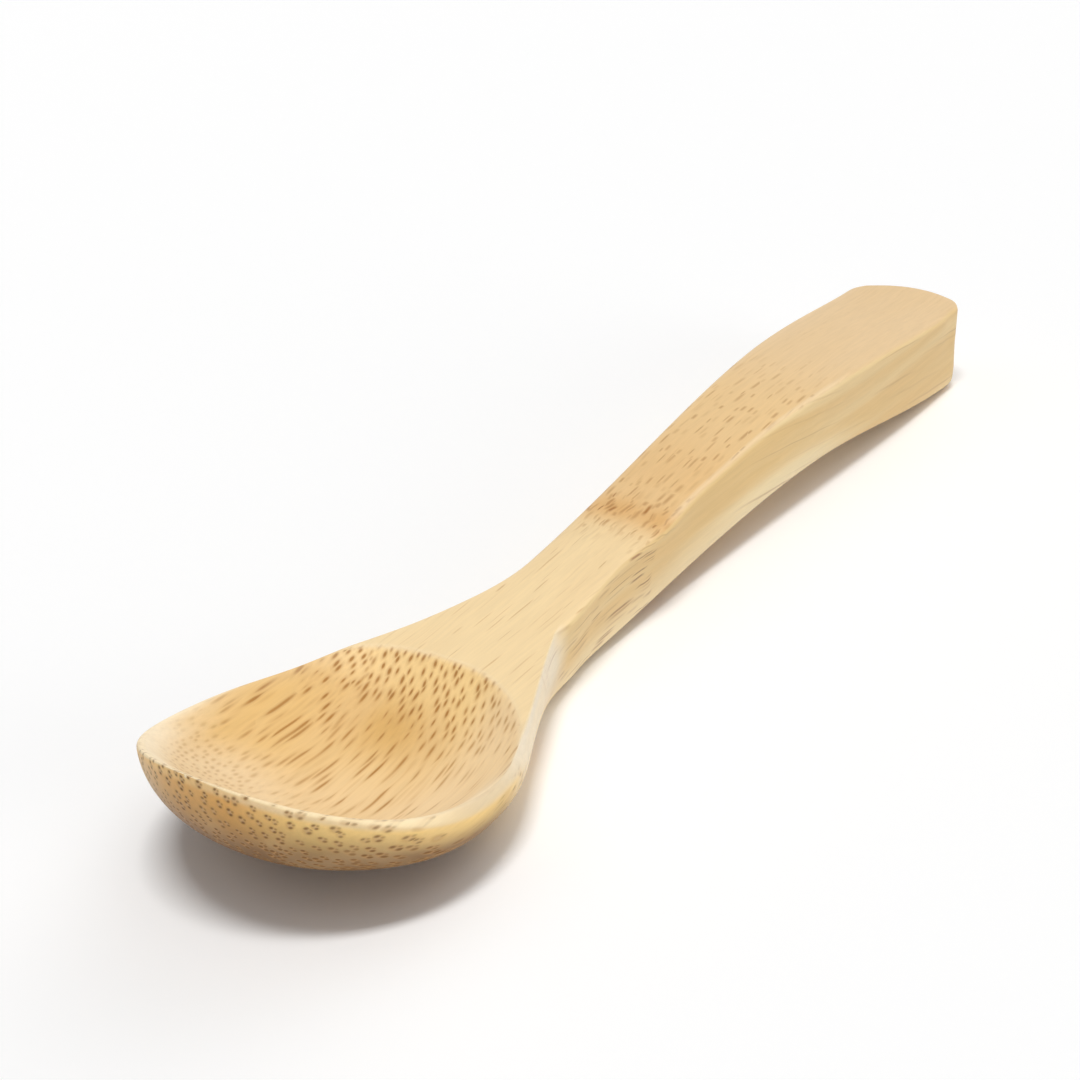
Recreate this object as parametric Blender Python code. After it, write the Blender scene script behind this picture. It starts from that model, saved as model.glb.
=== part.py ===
# Bamboo salt spoon, carved from one length of the wall of a thick culm.
#
# Frame: metres, +Z up. +X runs from the tip of the bowl to the end of the handle, and the spoon is
# the same on both sides of the plane Y = 0. X = 0 is half its length, and Z = 0 is the surface that
# its belly and the foot of its handle rest on.
#
# The body is a loft of closed sections along the spoon. Each section has a flat top with softened
# edges and a rounded underside, which is an ellipse at the bowl and almost a rectangle at the
# handle. The body is ground flat where it rests, and the hollow of the bowl is scooped out of it.

import math

import bmesh
import bpy

MM = 0.001

# Driving dimensions, in millimetres. A name that ends in _at, _from or _to is a distance from the
# tip of the bowl.
length = 88.0

# Outline seen from above
bowl_width = 20.6
bowl_widest_at = 11.5
neck_width = 5.6
neck_at = 35.0
handle_width = 9.8
handle_widest_at = 80.0
end_corner_radius = 1.9
end_bulge = 1.3
end_bulge_run = 12.0

# Line of the top face seen from the side
tip_height = 11.0
rim_height = 5.3
rim_lowest_at = 20.0
lip_sweep = 2.5
arch_height = 8.5
arch_top_at = 67.0
end_height = 7.3

# Line of the underside seen from the side
nose_fullness = 2.36
belly_at = 19.5
belly_ends_at = 26.0
arch_gap = 2.5
arch_gap_at = 62.0
ground_off = 0.12

# Sections across the spoon
bowl_fullness = 2.15
handle_fullness = 7.0
handle_section_from = 22.0
handle_section_to = 42.0
top_crown = 0.15
edge_radius = 0.45
end_edge_radius = 0.5
side_hollow = 0.25
softening_limit = 0.4

# Hollow of the bowl
lip_land = 1.3
rim_land = 0.65
hollow_to = 23.2
hollow_fullness = 2.1
hollow_deepest_at = 13.0
floor_thickness = 1.7
scoop_steepness = 2.3
scoop_overrun = 1.08
scoop_headroom = 5.0

# Fineness of the mesh
tip_steps = 14
body_step = 1.2
corner_steps = 5
edge_segments = 3
top_segments = 12
scoop_rings = 10
scoop_segments = 64
sharp_angle = math.radians(32.0)
weld_distance = 0.00001

cane_colour = (0.74, 0.50, 0.25, 1.0)
cane_roughness = 0.5


# Lines of the spoon

def ease(x, start, start_value, end, end_value):
    """A curve that leaves one value level and arrives level at the next."""
    share = min(max((x - start) / (end - start), 0.0), 1.0)
    share = share * share * (3.0 - 2.0 * share)
    return start_value + (end_value - start_value) * share


def half_width(x):
    """Half the width of the outline: an elliptical bowl, a neck and a handle that widens."""
    if x < bowl_widest_at:
        from_widest = 1.0 - x / bowl_widest_at
        return 0.5 * bowl_width * math.sqrt(max(1.0 - from_widest ** 2, 0.0))
    if x < neck_at:
        return ease(x, bowl_widest_at, 0.5 * bowl_width, neck_at, 0.5 * neck_width)
    return ease(x, neck_at, 0.5 * neck_width, handle_widest_at, 0.5 * handle_width)


def top_height(x):
    """Height of the top face: it sweeps up to the lip, dips at the bowl and arches at the handle."""
    if x < rim_lowest_at:
        return rim_height + (tip_height - rim_height) * (1.0 - x / rim_lowest_at) ** lip_sweep
    if x < arch_top_at:
        return ease(x, rim_lowest_at, rim_height, arch_top_at, arch_height)
    return ease(x, arch_top_at, arch_height, length, end_height)


def underside_height(x):
    """Height of the underside on the centre line: nose, belly, arch and foot of the handle."""
    if x < belly_at:
        from_belly = 1.0 - x / belly_at
        drop = (1.0 - from_belly ** nose_fullness) ** (1.0 / nose_fullness)
        return tip_height - (tip_height + ground_off) * drop
    if x < arch_gap_at:
        return ease(x, belly_ends_at, -ground_off, arch_gap_at, arch_gap)
    return ease(x, arch_gap_at, arch_gap, length, -ground_off)


def quarter_round(into, radius):
    """How far a rounded corner has drawn in, at a depth into it of 0 to its radius."""
    into = min(max(into, 0.0), radius)
    return radius - math.sqrt(radius ** 2 - into ** 2)


def signed_power(value, power):
    return math.copysign(abs(value) ** power, value)


# Body

def section(x):
    """Points (across, height) of the section at x: over the top from right to left, then under."""
    width = half_width(x) - quarter_round(x - (length - end_corner_radius), end_corner_radius)
    drawn_in = quarter_round(x - (length - end_edge_radius), end_edge_radius)
    top = top_height(x) - drawn_in
    bottom = underside_height(x) + drawn_in
    radius = min(edge_radius, softening_limit * width, softening_limit * (top - bottom))
    flat = width - radius
    crown = ease(x, handle_section_from, 0.0, handle_section_to, top_crown)
    fullness = ease(x, handle_section_from, bowl_fullness, handle_section_to, handle_fullness)
    waist = ease(x, handle_section_from, 0.0, handle_section_to, side_hollow)

    right_edge = []
    for step in range(edge_segments + 1):
        turn = 0.5 * math.pi * step / edge_segments
        right_edge.append((-flat - radius * math.cos(turn), top - radius + radius * math.sin(turn)))
    points = list(right_edge)
    for step in range(1, top_segments):
        across = 2.0 * step / top_segments - 1.0
        points.append((across * flat, top + crown * (1.0 - across ** 2)))
    points += [(-across, height) for across, height in reversed(right_edge)]

    under_segments = len(points) - 1
    depth = top - radius - bottom
    for step in range(1, under_segments):
        turn = math.pi * step / under_segments
        across = signed_power(math.cos(turn), 2.0 / fullness)
        down = math.sin(turn) ** (2.0 / fullness)
        scooped = waist * math.sin(math.pi * down) * across
        points.append((across * width - scooped, top - radius - depth * down))
    return points


def bulge(x, across):
    """How far the rounded end of the handle draws a point back towards the bowl."""
    share = max(x - (length - end_bulge_run), 0.0) / end_bulge_run
    return end_bulge * (share * across / (0.5 * handle_width)) ** 2


def body_stations():
    """Distances from the tip at which the body has a section."""
    stations = []
    for step in range(1, tip_steps + 1):
        stations.append(bowl_widest_at * (1.0 - math.cos(0.5 * math.pi * step / tip_steps)))
    corner_from = length - end_corner_radius
    body_steps = round((corner_from - bowl_widest_at) / body_step)
    for step in range(1, body_steps + 1):
        stations.append(bowl_widest_at + (corner_from - bowl_widest_at) * step / body_steps)
    for step in range(1, corner_steps + 1):
        stations.append(corner_from + end_corner_radius * math.sin(0.5 * math.pi * step / corner_steps))
    return stations


def place(x, across, height):
    """A point in the spoon's own frame, in metres, from its distance from the tip."""
    return ((x - 0.5 * length) * MM, across * MM, height * MM)


def close_end(mesh, ring):
    """Faces across the last section, from its top half to its bottom half."""
    half = len(ring) // 2
    top = ring[:half + 1]
    bottom = [ring[0]] + ring[:half - 1:-1]
    for step in range(half):
        corners = [top[step], top[step + 1], bottom[step + 1], bottom[step]]
        mesh.faces.new(list(dict.fromkeys(corners)))


def grind_flat(mesh):
    """Cut away what lies below the surface that the spoon rests on, and close the cuts."""
    geometry = mesh.verts[:] + mesh.edges[:] + mesh.faces[:]
    bmesh.ops.bisect_plane(mesh, geom=geometry, dist=weld_distance * MM, plane_co=(0.0, 0.0, 0.0),
                           plane_no=(0.0, 0.0, 1.0), clear_inner=True)
    rims = [edge for edge in mesh.edges if edge.is_boundary]
    bmesh.ops.holes_fill(mesh, edges=rims)


def make_body():
    """The whole spoon before its bowl is hollowed."""
    mesh = bmesh.new()
    tip = mesh.verts.new(place(0.0, 0.0, tip_height))
    rings = []
    for x in body_stations():
        rings.append([mesh.verts.new(place(x - bulge(x, across), across, height))
                      for across, height in section(x)])
    count = len(rings[0])
    for step in range(count):
        mesh.faces.new([tip, rings[0][step], rings[0][(step + 1) % count]])
    for ring, following in zip(rings, rings[1:]):
        for step in range(count):
            after = (step + 1) % count
            mesh.faces.new([ring[step], following[step], following[after], ring[after]])
    close_end(mesh, rings[-1])
    grind_flat(mesh)
    return mesh


# Hollow

def scoop_point(reach, turn):
    """A point of the scooped surface, at reach 0 at its deepest point and 1 at its rim."""
    middle = 0.5 * (lip_land + hollow_to)
    along = signed_power(math.cos(turn), 2.0 / hollow_fullness)
    across = signed_power(math.sin(turn), 2.0 / hollow_fullness)
    rim_x = middle + (hollow_to - middle) * along
    rim_across = (0.5 * bowl_width - rim_land) * across
    floor = underside_height(hollow_deepest_at) + floor_thickness
    x = hollow_deepest_at + reach * (rim_x - hollow_deepest_at)
    height = floor + (top_height(rim_x) - floor) * reach ** scoop_steepness
    return place(x, reach * rim_across, height)


def make_scoop():
    """The solid that is cut out of the bowl: the scooped surface under a pointed lid."""
    mesh = bmesh.new()
    deepest = mesh.verts.new(scoop_point(0.0, 0.0))
    rings = []
    for ring_number in range(1, scoop_rings + 1):
        reach = scoop_overrun * ring_number / scoop_rings
        rings.append([mesh.verts.new(scoop_point(reach, 2.0 * math.pi * step / scoop_segments))
                      for step in range(scoop_segments)])
    lid = mesh.verts.new(place(hollow_deepest_at, 0.0, tip_height + scoop_headroom))
    for step in range(scoop_segments):
        after = (step + 1) % scoop_segments
        mesh.faces.new([deepest, rings[0][step], rings[0][after]])
        for ring, following in zip(rings, rings[1:]):
            mesh.faces.new([ring[step], following[step], following[after], ring[after]])
        mesh.faces.new([lid, rings[-1][after], rings[-1][step]])
    return mesh


# Objects

def make_object(name, mesh):
    """An object from a finished bmesh, with its faces pointing out."""
    bmesh.ops.recalc_face_normals(mesh, faces=mesh.faces[:])
    data = bpy.data.meshes.new(name)
    mesh.to_mesh(data)
    mesh.free()
    made = bpy.data.objects.new(name, data)
    bpy.context.scene.collection.objects.link(made)
    return made


def make_cane():
    """Oiled bamboo, sanded smooth."""
    cane = bpy.data.materials.new("bamboo")
    cane.use_nodes = True
    shader = cane.node_tree.nodes["Principled BSDF"]
    shader.inputs["Base Color"].default_value = cane_colour
    shader.inputs["Roughness"].default_value = cane_roughness
    shader.inputs["Metallic"].default_value = 0.0
    return cane


def make_spoon():
    spoon = make_object("spoon", make_body())
    spoon.data.materials.append(make_cane())
    spoon.data.shade_smooth()
    spoon.data.set_sharp_from_angle(angle=sharp_angle)
    scoop = make_object("scoop", make_scoop())
    scoop.hide_render = True
    scoop.display_type = "WIRE"
    hollow = spoon.modifiers.new("hollow", "BOOLEAN")
    hollow.operation = "DIFFERENCE"
    hollow.object = scoop
    return spoon


for existing in list(bpy.data.objects):
    bpy.data.objects.remove(existing)
make_spoon()
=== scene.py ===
import math

import bpy
import numpy as np
from mathutils import Matrix, Quaternion, Vector


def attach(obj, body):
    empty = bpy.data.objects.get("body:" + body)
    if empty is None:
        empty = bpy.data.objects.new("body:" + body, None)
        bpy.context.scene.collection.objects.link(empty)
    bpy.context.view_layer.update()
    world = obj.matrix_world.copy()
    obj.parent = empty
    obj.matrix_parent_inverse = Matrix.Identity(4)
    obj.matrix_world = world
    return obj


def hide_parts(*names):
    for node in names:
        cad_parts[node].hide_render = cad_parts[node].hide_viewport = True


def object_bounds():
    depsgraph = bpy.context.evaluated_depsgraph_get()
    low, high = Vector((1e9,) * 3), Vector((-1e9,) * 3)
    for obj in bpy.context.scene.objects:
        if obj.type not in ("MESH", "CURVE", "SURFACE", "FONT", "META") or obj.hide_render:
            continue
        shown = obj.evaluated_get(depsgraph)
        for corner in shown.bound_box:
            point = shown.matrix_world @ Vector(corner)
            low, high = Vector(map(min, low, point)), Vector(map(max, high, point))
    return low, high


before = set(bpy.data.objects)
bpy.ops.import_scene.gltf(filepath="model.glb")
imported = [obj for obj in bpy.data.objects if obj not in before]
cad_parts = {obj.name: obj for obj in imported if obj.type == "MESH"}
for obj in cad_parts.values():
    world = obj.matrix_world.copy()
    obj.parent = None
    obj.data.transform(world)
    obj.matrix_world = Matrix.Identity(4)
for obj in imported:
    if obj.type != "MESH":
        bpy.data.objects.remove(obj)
cad_low, cad_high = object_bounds()

# The looks of a bamboo salt spoon: one sanded and oiled solid on a white table under a softbox.
#
# Sizes are in millimetres until place() turns them into the frame's metres. A name that ends in _at,
# _from or _to is a distance from the tip of the bowl; +X runs from the tip to the end of the handle.

MM = 0.001
length = (cad_high.x - cad_low.x) / MM

# Lines of the spoon, the same as the solid's
bowl_width = 20.6
bowl_widest_at = 11.5
neck_width = 5.6
neck_at = 35.0
handle_width = 9.8
handle_widest_at = 80.0
end_corner_radius = 1.9
end_bulge = 1.3
end_bulge_run = 12.0
tip_height = 11.0
rim_height = 5.3
rim_lowest_at = 20.0
lip_sweep = 2.5
arch_height = 8.5
arch_top_at = 67.0
end_height = 7.3
nose_fullness = 2.36
belly_at = 19.5
belly_ends_at = 26.0
arch_gap = 2.5
arch_gap_at = 62.0
ground_off = 0.12
bowl_fullness = 2.15
handle_fullness = 7.0
handle_section_from = 22.0
handle_section_to = 42.0
top_crown = 0.15
edge_radius = 0.45
end_edge_radius = 0.5
side_hollow = 0.25
softening_limit = 0.4

# Hollow of the bowl: its rim has its own reach and fullness in each quarter
hollow_middle_at = 12.25
hollow_front_reach = 11.45
hollow_back_reach = 10.95
hollow_left_reach = 10.15
hollow_right_reach = 9.65
hollow_front_fullness = 2.1
hollow_back_left_fullness = 2.62
hollow_back_right_fullness = 1.97
hollow_deepest_at = 13.0
floor_thickness = 1.7
scoop_steepness = 2.3
front_rim_softness = 0.6
front_rim_soft_to = 6.25
back_rim_softness = 0.22
back_rim_soft_from = 16.25
rim_colour_run = 0.08
least_stretch = 0.1
most_stretch = 40.0
halvings = 40

# What the knife and the sanding left: a broad edge at the right of the bowl and a facet on the
# right shoulder. The node of the culm crosses the handle just behind them.
broad_edge_radius = 0.85
broad_edge_from = 4.0
broad_edge_fullest_at = 9.0
broad_edge_to = 17.0
facet_from = 13.0
facet_full_from = 19.0
facet_full_to = 27.8
facet_to = 30.0
facet_inset = 0.72
facet_drop = 1.25
shoulder_in = 0.5
shoulder_in_from = 14.5
shoulder_in_full_from = 22.0
shoulder_in_full_to = 27.0
shoulder_in_to = 32.0
node_at = 41.9

# Where the edges of the top are worn pale and carry a painted sheen. The middles and the reach are
# shares of an edge's rows.
wear_and_sheen_edge_from = 45.0
wear_and_sheen_edge_to = 64.0
wear_and_sheen_edge_run = 4.0
left_wear_and_sheen = 0.5
left_wear_and_sheen_middle = 0.5
bowl_wear_and_sheen = 0.75
right_wear_and_sheen_middle = 0.75
right_wear_and_sheen_reach = 0.6
facet_fade_rows = 12.0

# How far the hand-cut edges of the top stand outside the even outline: (at, run, outwards)
right_edge_waves = [(33.5, 3.2, 0.44), (41.9, 3.4, 0.56), (57.0, 6.5, -0.45), (85.5, 2.2, -0.35)]
left_edge_out = 0.22
left_edge_from = 24.0
left_edge_to = 30.0

# Fineness of the mesh
tip_steps = 90
bowl_step = 0.2
bowl_stations_to = 33.0
body_step = 0.45
corner_steps = 6
edge_segments = 8
top_segments = 110
under_segments = 72
end_ring_shares = (0.85, 0.6, 0.35, 0.1)


def ease(x, start, start_value, end, end_value):
    """A curve that leaves one value level and arrives level at the next."""
    share = np.clip((x - start) / (end - start), 0.0, 1.0)
    share = share * share * (3.0 - 2.0 * share)
    return start_value + (end_value - start_value) * share


def half_width(x):
    """Half the width of the outline: an elliptical bowl, a neck and a handle that widens."""
    from_widest = np.clip(1.0 - x / bowl_widest_at, 0.0, 1.0)
    bowl = 0.5 * bowl_width * np.sqrt(1.0 - from_widest ** 2)
    shoulder = ease(x, bowl_widest_at, 0.5 * bowl_width, neck_at, 0.5 * neck_width)
    handle = ease(x, neck_at, 0.5 * neck_width, handle_widest_at, 0.5 * handle_width)
    return np.where(x < bowl_widest_at, bowl, np.where(x < neck_at, shoulder, handle))


def top_height(x):
    """Height of the top face: it sweeps up to the lip, dips at the bowl and arches at the handle."""
    from_lowest = np.clip(1.0 - x / rim_lowest_at, 0.0, 1.0)
    lip = rim_height + (tip_height - rim_height) * from_lowest ** lip_sweep
    rise = ease(x, rim_lowest_at, rim_height, arch_top_at, arch_height)
    fall = ease(x, arch_top_at, arch_height, length, end_height)
    return np.where(x < rim_lowest_at, lip, np.where(x < arch_top_at, rise, fall))


def underside_height(x):
    """Height of the underside on the centre line: nose, belly, arch and foot of the handle."""
    from_belly = np.clip(1.0 - x / belly_at, 0.0, 1.0)
    drop = (1.0 - from_belly ** nose_fullness) ** (1.0 / nose_fullness)
    nose = tip_height - (tip_height + ground_off) * drop
    arch = ease(x, belly_ends_at, -ground_off, arch_gap_at, arch_gap)
    foot = ease(x, arch_gap_at, arch_gap, length, -ground_off)
    return np.where(x < belly_at, nose, np.where(x < arch_gap_at, arch, foot))


def quarter_round(into, radius):
    """How far a rounded corner has drawn in, at a depth into it of 0 to its radius."""
    into = np.clip(into, 0.0, radius)
    return radius - np.sqrt(radius ** 2 - into ** 2)


def signed_power(value, power):
    return np.sign(value) * np.abs(value) ** power


def stations():
    """Distances from the tip at which the body has a section."""
    turn = 0.5 * math.pi * np.arange(1, tip_steps + 1) / tip_steps
    tip = bowl_widest_at * (1.0 - np.cos(turn))
    corner_from = length - end_corner_radius
    bowl = np.arange(bowl_widest_at + bowl_step, bowl_stations_to, bowl_step)
    body_steps = round((corner_from - bowl_stations_to) / body_step)
    body = np.linspace(bowl_stations_to, corner_from, body_steps + 1)
    turn = 0.5 * math.pi * np.arange(1, corner_steps + 1) / corner_steps
    corner = corner_from + end_corner_radius * np.sin(turn)
    return np.concatenate([tip, bowl, body, corner])


def right_edge_radius(x):
    """Radius of the right edge of the top face, which is broadest at the right of the bowl."""
    onset = ease(x, broad_edge_from, 0.0, broad_edge_fullest_at, 1.0)
    fade = ease(x, broad_edge_fullest_at, 1.0, broad_edge_to, 0.0)
    return edge_radius + (broad_edge_radius - edge_radius) * np.minimum(onset, fade)


def facet_share(x):
    """How far the knife's facet has taken the place of the rounded right edge."""
    onset = ease(x, facet_from, 0.0, facet_full_from, 1.0)
    return np.minimum(onset, np.clip((facet_to - x) / (facet_to - facet_full_to), 0.0, 1.0))


def right_side_in(x):
    """How far the knife took the whole right side of the shoulder in."""
    onset = ease(x, shoulder_in_from, 0.0, shoulder_in_full_from, shoulder_in)
    return np.minimum(onset, ease(x, shoulder_in_full_to, shoulder_in, shoulder_in_to, 0.0))


def sections(x):
    """Rings of points (x, across, height), over the top from right to left, then under."""
    x = x[:, None]
    width = half_width(x) - quarter_round(x - (length - end_corner_radius), end_corner_radius)
    drawn_in = quarter_round(x - (length - end_edge_radius), end_edge_radius)
    top = top_height(x) - drawn_in
    bottom = underside_height(x) + drawn_in
    limit = softening_limit * np.minimum(width, top - bottom)
    rounded = np.minimum(right_edge_radius(x), limit)
    faceted = facet_share(x)
    right_width = width - right_side_in(x)
    right = rounded + faceted * (facet_inset - right_side_in(x) - rounded)
    drop = rounded + faceted * (facet_drop - rounded)
    left = np.minimum(edge_radius, limit)
    crown = ease(x, handle_section_from, 0.0, handle_section_to, top_crown)
    fullness = ease(x, handle_section_from, bowl_fullness, handle_section_to, handle_fullness)
    waist = ease(x, handle_section_from, 0.0, handle_section_to, side_hollow)

    share = np.arange(edge_segments + 1) / edge_segments
    turn = 0.5 * math.pi * share
    right_in = (1.0 - faceted) * (1.0 - np.cos(turn)) + faceted * share
    right_up = (1.0 - faceted) * np.sin(turn) + faceted * share
    right_across = -(right_width - right * right_in)
    right_height = top - drop * (1.0 - right_up)
    left_across = (width - left + left * np.cos(turn))[:, ::-1]
    left_height = (top - left + left * np.sin(turn))[:, ::-1]
    share = np.arange(1, top_segments) / top_segments
    middle_across = (width - left) * share - (right_width - right) * (1.0 - share)
    middle_height = top + 4.0 * crown * share * (1.0 - share)
    over_across = np.hstack([right_across, middle_across, left_across])
    over_height = np.hstack([right_height, middle_height, left_height])

    turn = math.pi * np.arange(1, under_segments) / under_segments
    across = signed_power(np.cos(turn), 2.0 / fullness)
    down = np.sin(turn) ** (2.0 / fullness)
    side_width = np.where(across < 0.0, right_width, width)
    under_across = across * (side_width - waist * np.sin(math.pi * down))
    shoulder = top - 0.5 * (left * (1.0 + across) + drop * (1.0 - across))
    under_height = shoulder - (shoulder - bottom) * down

    return [np.stack([x + np.zeros_like(across), across, height], axis=-1)
            for across, height in ((over_across, over_height), (under_across, under_height))]


def hand_cut(points):
    """Let the edges of the handle wander a little to each side, as the knife and the node left them."""
    x, across = points[..., 0], points[..., 1]
    share = np.clip(across / half_width(x), -1.0, 1.0)
    right_out = sum(out * np.exp(-((x - at) / run) ** 2) for at, run, out in right_edge_waves)
    left_out = ease(x, left_edge_from, 0.0, left_edge_to, left_edge_out)
    rise = (points[..., 2] - underside_height(x)) / (top_height(x) - underside_height(x))
    out = np.where(across > 0.0, left_out, -right_out * np.clip(rise, 0.0, 1.0) ** 2)
    points[..., 1] += out * share ** 2
    return points


def rim_power_sum(x, across):
    """Below 1 inside the rim of the hollow, 1 on it and above 1 outside."""
    behind = x > hollow_middle_at
    left = across > 0.0
    reach_x = np.where(behind, hollow_back_reach, hollow_front_reach)
    reach_y = np.where(left, hollow_left_reach, hollow_right_reach)
    back_fullness = np.where(left, hollow_back_left_fullness, hollow_back_right_fullness)
    fullness = np.where(behind, back_fullness, hollow_front_fullness)
    share_x = np.abs(x - hollow_middle_at) / reach_x
    share_y = np.abs(across) / reach_y
    return share_x ** fullness + share_y ** fullness


def scoop_height(x, across):
    """Height of the scooped surface, which rises from its deepest point to the rim all round."""
    low = np.full_like(x, least_stretch)
    high = np.full_like(x, most_stretch)
    for _ in range(halvings):
        stretch = 0.5 * (low + high)
        rim_x = hollow_deepest_at + stretch * (x - hollow_deepest_at)
        inside = rim_power_sum(rim_x, stretch * across) < 1.0
        low = np.where(inside, stretch, low)
        high = np.where(inside, high, stretch)
    rim_x = hollow_deepest_at + low * (x - hollow_deepest_at)
    floor = underside_height(np.array(hollow_deepest_at)) + floor_thickness
    return floor + (top_height(rim_x) - floor) * low ** -scoop_steepness


def soft_lower(first, second, softness):
    """The lower of two heights, rounded where they cross, and how near that crossing is."""
    near = np.maximum(softness - np.abs(first - second), 0.0) / softness
    return np.minimum(first, second) - 0.25 * softness * near ** 2, near


def place(points):
    """Points in the frame, in metres, from millimetres behind the tip."""
    return (points - (0.5 * length, 0.0, 0.0)) * MM


def edge_wear_and_sheen(x, count):
    """Wear and painted sheen across the top face: on its rounded edges, and most on the right one along
    the handle.
    """
    step = np.arange(count)
    from_left = np.abs(count - 1 - step - left_wear_and_sheen_middle * edge_segments)
    from_right = np.abs(step - right_wear_and_sheen_middle * edge_segments)
    left = np.clip(1.0 - from_left / edge_segments, 0.0, 1.0)
    right = np.clip(1.0 - from_right / (right_wear_and_sheen_reach * edge_segments), 0.0, 1.0)
    onset = ease(x, wear_and_sheen_edge_from - wear_and_sheen_edge_run, 0.0, wear_and_sheen_edge_from, 1.0)
    fade = ease(x, wear_and_sheen_edge_to, 1.0, wear_and_sheen_edge_to + wear_and_sheen_edge_run, 0.0)
    on_bowl = np.minimum(ease(x, broad_edge_fullest_at, 0.0, broad_edge_to, bowl_wear_and_sheen),
                         ease(x, broad_edge_to, bowl_wear_and_sheen, handle_section_from, 0.0))
    return np.maximum(left_wear_and_sheen * left, right * np.maximum(on_bowl, np.minimum(onset, fade)))


def edge_pared(x, over_count, under_count):
    """Where the facet is: full on it and fading down the side below it."""
    over = np.clip(edge_segments + 0.5 - np.arange(over_count), 0.0, 1.0)
    under = np.clip(1.0 - np.arange(under_count)[::-1] / facet_fade_rows, 0.0, 1.0)
    return facet_share(x) * np.concatenate([over, under])


def end_rings(last):
    """Rings across the flat end of the handle, each drawn in further towards its middle."""
    middle = 0.5 * (last[:, 1:].min(axis=0) + last[:, 1:].max(axis=0))
    rings = []
    for share in end_ring_shares:
        across, height = (middle + share * (last[:, 1:] - middle)).T
        along = length - end_bulge * (across / (0.5 * handle_width)) ** 2
        rings.append(np.stack([along, across, height], axis=-1))
    return np.stack(rings)


def spoon_mesh():
    """The whole surface, with its wear and painted sheen, its facet, its hollow and its depth below the
    top line.
    """
    at = stations()
    over, under = sections(at)
    hollowed = scoop_height(over[..., 0], over[..., 1])
    softness = ease(over[..., 0], front_rim_soft_to, front_rim_softness,
                    back_rim_soft_from, back_rim_softness)
    scooped = np.clip(0.5 + (over[..., 2] - hollowed) / rim_colour_run, 0.0, 1.0)
    over[..., 2], rim_near = soft_lower(over[..., 2], hollowed, softness)
    over_wear_and_sheen = np.maximum(rim_near, edge_wear_and_sheen(at[:, None], over.shape[1]))
    plain = np.zeros(under.shape[:2])
    worn_and_sheen = np.hstack([over_wear_and_sheen, plain])
    scooped = np.hstack([scooped, plain])
    pared = edge_pared(at[:, None], over.shape[1], under.shape[1])
    rings = hand_cut(np.concatenate([over, under], axis=1))
    share = np.maximum(rings[..., 0] - (length - end_bulge_run), 0.0) / end_bulge_run
    rings[..., 0] -= end_bulge * (share * rings[..., 1] / (0.5 * handle_width)) ** 2
    rings[..., 2] = np.maximum(rings[..., 2], 0.0)
    end = end_rings(rings[-1])
    rings = np.concatenate([rings, end])
    plain = np.zeros(end.shape[:2])
    worn_and_sheen, pared, scooped = (np.concatenate([values, plain]) for values in (worn_and_sheen, pared, scooped))
    sunk = top_height(rings[..., 0]) - rings[..., 2]

    count, size = rings.shape[:2]
    tip = np.array([[0.0, 0.0, tip_height]])
    points = place(np.concatenate([tip, rings.reshape(-1, 3)]))
    index = 1 + np.arange(count * size).reshape(count, size)
    following = np.roll(index, -1, axis=1)
    quads = np.stack([index[:-1], index[1:], following[1:], following[:-1]], axis=-1)
    faces = [(0, int(first), int(second)) for first, second in zip(index[0], following[0])]
    faces += [tuple(quad) for quad in quads.reshape(-1, 4).tolist()]
    faces.append(tuple(index[-1][::-1].tolist()))
    data = bpy.data.meshes.new("salt_spoon")
    data.from_pydata(points.tolist(), [], faces)
    layers = (("worn_and_sheen", 1.0, worn_and_sheen), ("pared", 0.0, pared),
              ("scooped", 0.0, scooped), ("sunk", 0.0, sunk))
    for name, tip_value, values in layers:
        layer = data.attributes.new(name, "FLOAT", "POINT")
        layer.data.foreach_set("value", np.concatenate([[tip_value], values.ravel()]))
    data.shade_smooth()
    return data


# Node helpers

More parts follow.
